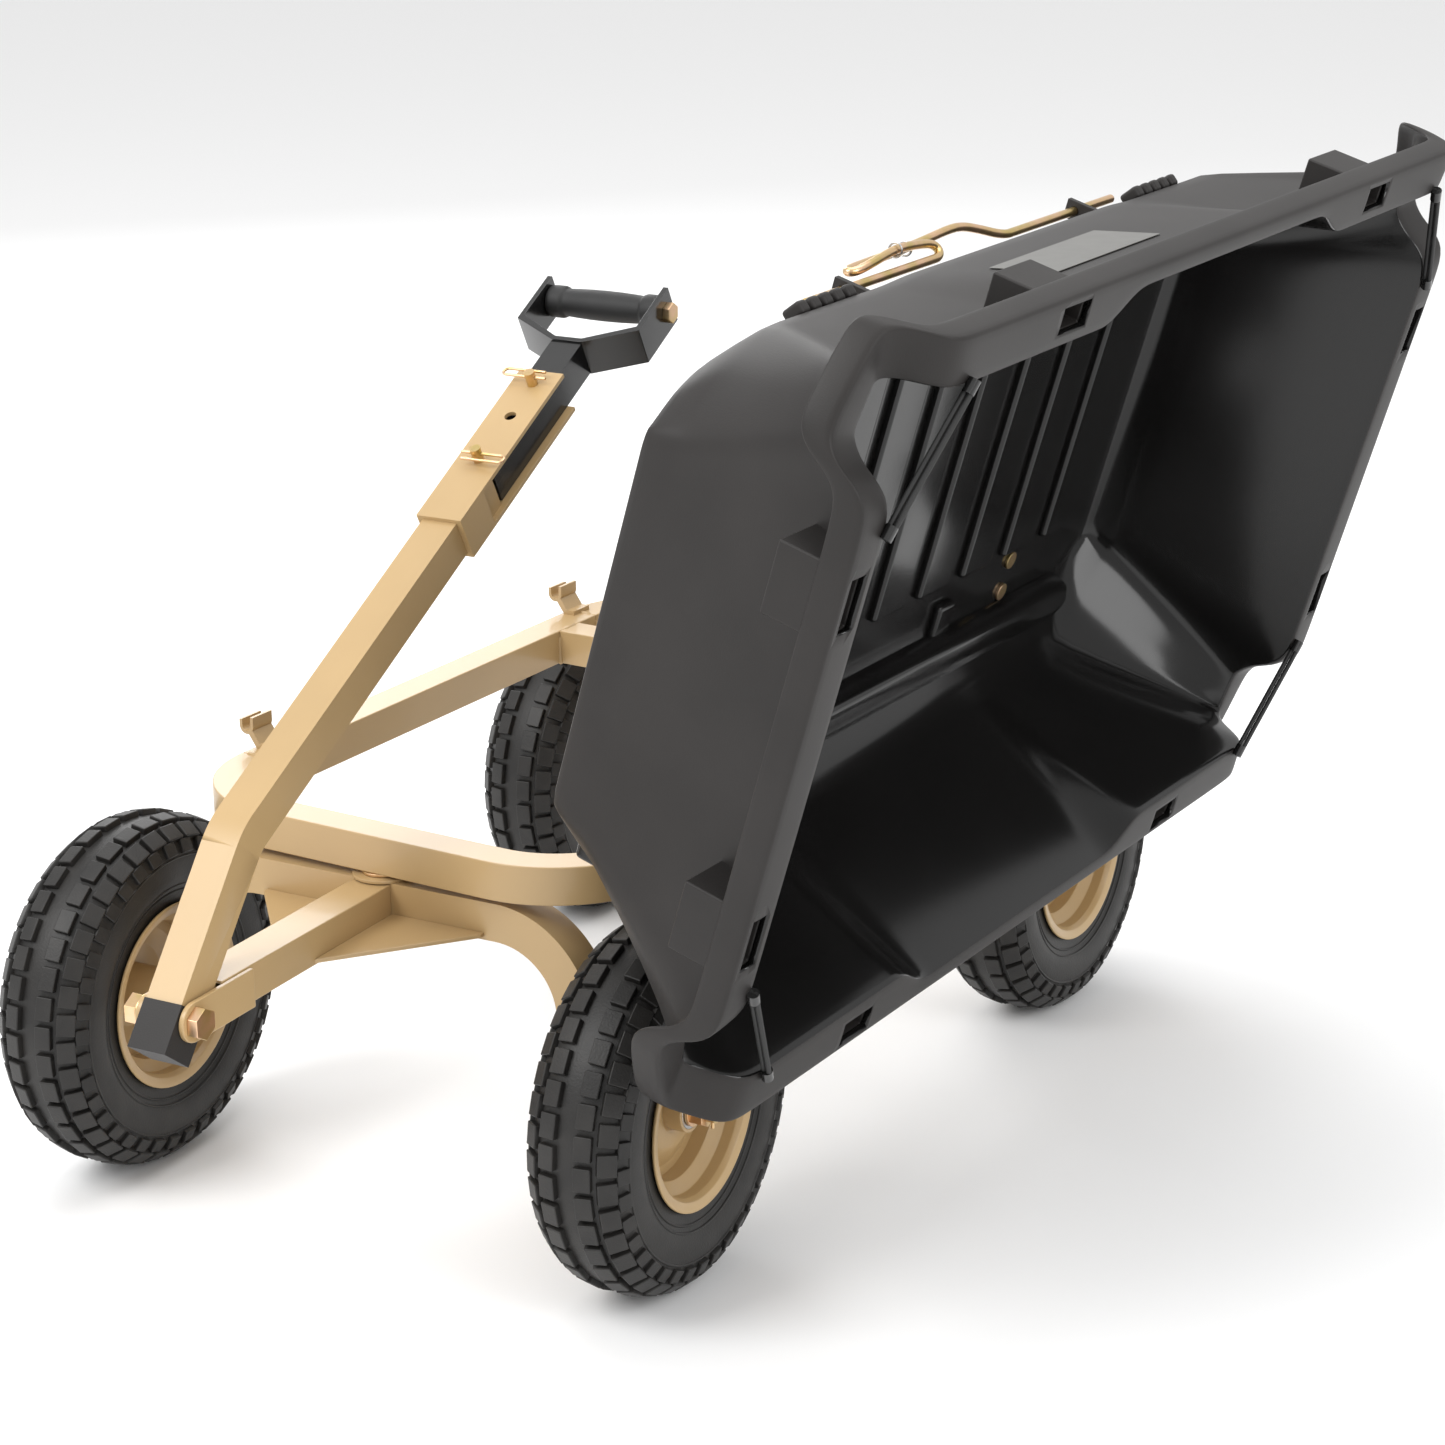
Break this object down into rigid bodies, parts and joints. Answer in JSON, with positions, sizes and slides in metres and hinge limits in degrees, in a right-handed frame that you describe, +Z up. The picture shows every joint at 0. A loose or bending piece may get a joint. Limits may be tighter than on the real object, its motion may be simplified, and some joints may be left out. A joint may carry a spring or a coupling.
{
  "type": "game cart",
  "caption": "Hauling cart with a bent tube frame, a steered front axle, a folding tongue with a pull handle, and a moulded tub tipped to one side.",
  "frame": {"origin": "on the ground under the middle of the cart's bounding box, tub tipped", "axes": "+Z up, -Y to the cart's front where the tongue is, +X to the cart's left, the side the tub tips to"},
  "size_m": [0.9624, 1.2721, 0.9087],
  "materials": {
    "tan_paint": "satin powder coat",
    "yellow_zinc": "yellow passivated zinc plating on steel",
    "black_plastic": "satin moulded polyethylene",
    "black_rubber": "matte",
    "tyre": "matte with tread blocks",
    "bearing_steel": "ground",
    "black_paint": "gloss",
    "badge": "plain plate, satin"
  },
  "bodies": {
    "frame": {"front_bow": "tan_paint", "rear_bow": "tan_paint", "left_rail": "tan_paint", "right_rail": "tan_paint", "crossmember": "tan_paint", "rear_axle_tube": "tan_paint", "rear_spindles": "yellow_zinc", "kingpin": "yellow_zinc", "kingpin_hardware": "yellow_zinc", "latch_hooks": "tan_paint", "hinge_brackets": "tan_paint", "hinge_pins": "yellow_zinc", "rear_wheel_nuts": "yellow_zinc", "rear_wheel_washers": "yellow_zinc", "rear_cotters": "yellow_zinc"},
    "front_axle": {"front_axle_tube": "tan_paint", "front_spindles": "yellow_zinc", "draw_arm": "tan_paint", "gussets": "tan_paint", "clevis_plates": "tan_paint", "tongue_bolt": "yellow_zinc", "tongue_nut": "yellow_zinc", "kingpin_boss": "tan_paint", "front_wheel_nuts": "yellow_zinc", "front_wheel_washers": "yellow_zinc", "front_cotters": "yellow_zinc"},
    "tongue": {"tongue_tube": "tan_paint", "tongue_cap": "black_plastic", "hitch_bracket": "tan_paint", "handle_shaft": "black_paint", "handle_yoke": "black_paint", "grip": "black_rubber", "grip_bolt": "yellow_zinc", "upper_pin": "yellow_zinc", "lower_pin": "yellow_zinc"},
    "hairpin_upper": {"hairpin_upper": "yellow_zinc"},
    "hairpin_lower": {"hairpin_lower": "yellow_zinc"},
    "bed": {"tub": "black_plastic", "bed_hinges": "tan_paint", "bed_bolts": "yellow_zinc", "side_plate": "badge", "corner_cords": "black_rubber", "rod_brackets": "black_plastic"},
    "lift_rod": {"lift_rod": "yellow_zinc"},
    "wheel_front_left": {"tyre_front_left": "tyre", "rim_front_left": "tan_paint", "bearings_front_left": "bearing_steel", "valve_front_left": "black_rubber"},
    "wheel_front_right": {"tyre_front_right": "tyre", "rim_front_right": "tan_paint", "bearings_front_right": "bearing_steel", "valve_front_right": "black_rubber"},
    "wheel_rear_left": {"tyre_rear_left": "tyre", "rim_rear_left": "tan_paint", "bearings_rear_left": "bearing_steel", "valve_rear_left": "black_rubber"},
    "wheel_rear_right": {"tyre_rear_right": "tyre", "rim_rear_right": "tan_paint", "bearings_rear_right": "bearing_steel", "valve_rear_right": "black_rubber"}
  },
  "joints": [
    {"name": "steer", "type": "hinge", "parent": "frame", "child": "front_axle", "pos_m": [-0.14866, -0.2955, 0.328], "axis": [0, 0, 1], "range_deg": [-38.5, 31.5]},
    {"name": "bed_tip", "type": "hinge", "parent": "frame", "child": "bed", "pos_m": [0.08404, 0.0725, 0.3896], "axis": [0, 1, 0], "range_deg": [-106.8, 0]},
    {"name": "tongue_fold", "type": "hinge", "parent": "front_axle", "child": "tongue", "pos_m": [-0.13004, -0.59993, 0.306], "axis": [0.9981, 0.061, 0], "range_deg": [0, 140]},
    {"name": "rod_swing", "type": "hinge", "parent": "bed", "child": "lift_rod", "pos_m": [0.21895, 0.0725, 0.84891], "axis": [0, 1, 0], "range_deg": [0, 60]},
    {"name": "upper_clip", "type": "slide", "parent": "tongue", "child": "hairpin_upper", "axis": [-0.9981, -0.061, 0], "range_m": [0, 0.045]},
    {"name": "lower_clip", "type": "slide", "parent": "tongue", "child": "hairpin_lower", "axis": [0.9981, 0.061, 0], "range_m": [0, 0.045]},
    {"name": "front_left_spin", "type": "hinge", "parent": "front_axle", "child": "wheel_front_left", "pos_m": [0.12782, -0.27859, 0.165], "axis": [0.9981, 0.061, 0], "continuous": true},
    {"name": "front_right_spin", "type": "hinge", "parent": "front_axle", "child": "wheel_front_right", "pos_m": [-0.42514, -0.31241, 0.165], "axis": [0.9981, 0.061, 0], "continuous": true},
    {"name": "rear_left_spin", "type": "hinge", "parent": "frame", "child": "wheel_rear_left", "pos_m": [0.12834, 0.4405, 0.165], "axis": [1, 0, 0], "continuous": true},
    {"name": "rear_right_spin", "type": "hinge", "parent": "frame", "child": "wheel_rear_right", "pos_m": [-0.42566, 0.4405, 0.165], "axis": [1, 0, 0], "continuous": true}
  ],
  "couplings": [
    {"joint": "tongue_fold", "follows": "bed_tip", "ratio": -1.3}
  ]
}
